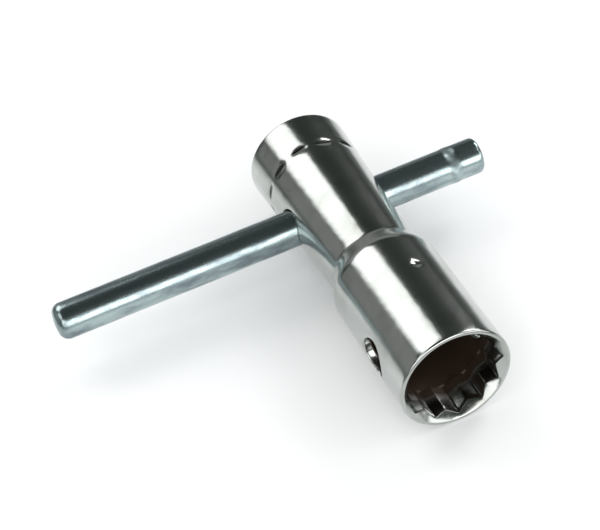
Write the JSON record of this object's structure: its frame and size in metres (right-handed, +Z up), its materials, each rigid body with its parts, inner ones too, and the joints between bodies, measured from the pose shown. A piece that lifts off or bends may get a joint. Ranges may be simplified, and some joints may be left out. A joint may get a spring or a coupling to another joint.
{
  "type": "double-ended box spanner",
  "caption": "Double-ended tubular box spanner with twelve-point sockets and a sliding tommy bar through the smaller end.",
  "frame": {"origin": "centre of the large socket's mouth, on the tube's axis", "axes": "+X along the tube's axis, out of the large socket's mouth; +Y along the tommy bar, towards its crimped end; +Z up, square to both"},
  "size_m": [0.0765, 0.0985, 0.0234],
  "materials": {
    "tube_chrome": "bright nickel-chrome plate, polished",
    "bar_zinc": "bright zinc plate over drawn rod, slightly blue"
  },
  "bodies": {
    "tube": {"socket_tube": "tube_chrome"},
    "bar": {"tommy_bar": "bar_zinc"}
  },
  "joints": [
    {"name": "bar_slide", "type": "slide", "parent": "tube", "child": "bar", "axis": [0, 1, 0], "range_m": [-0.0152, 0.0765]}
  ]
}
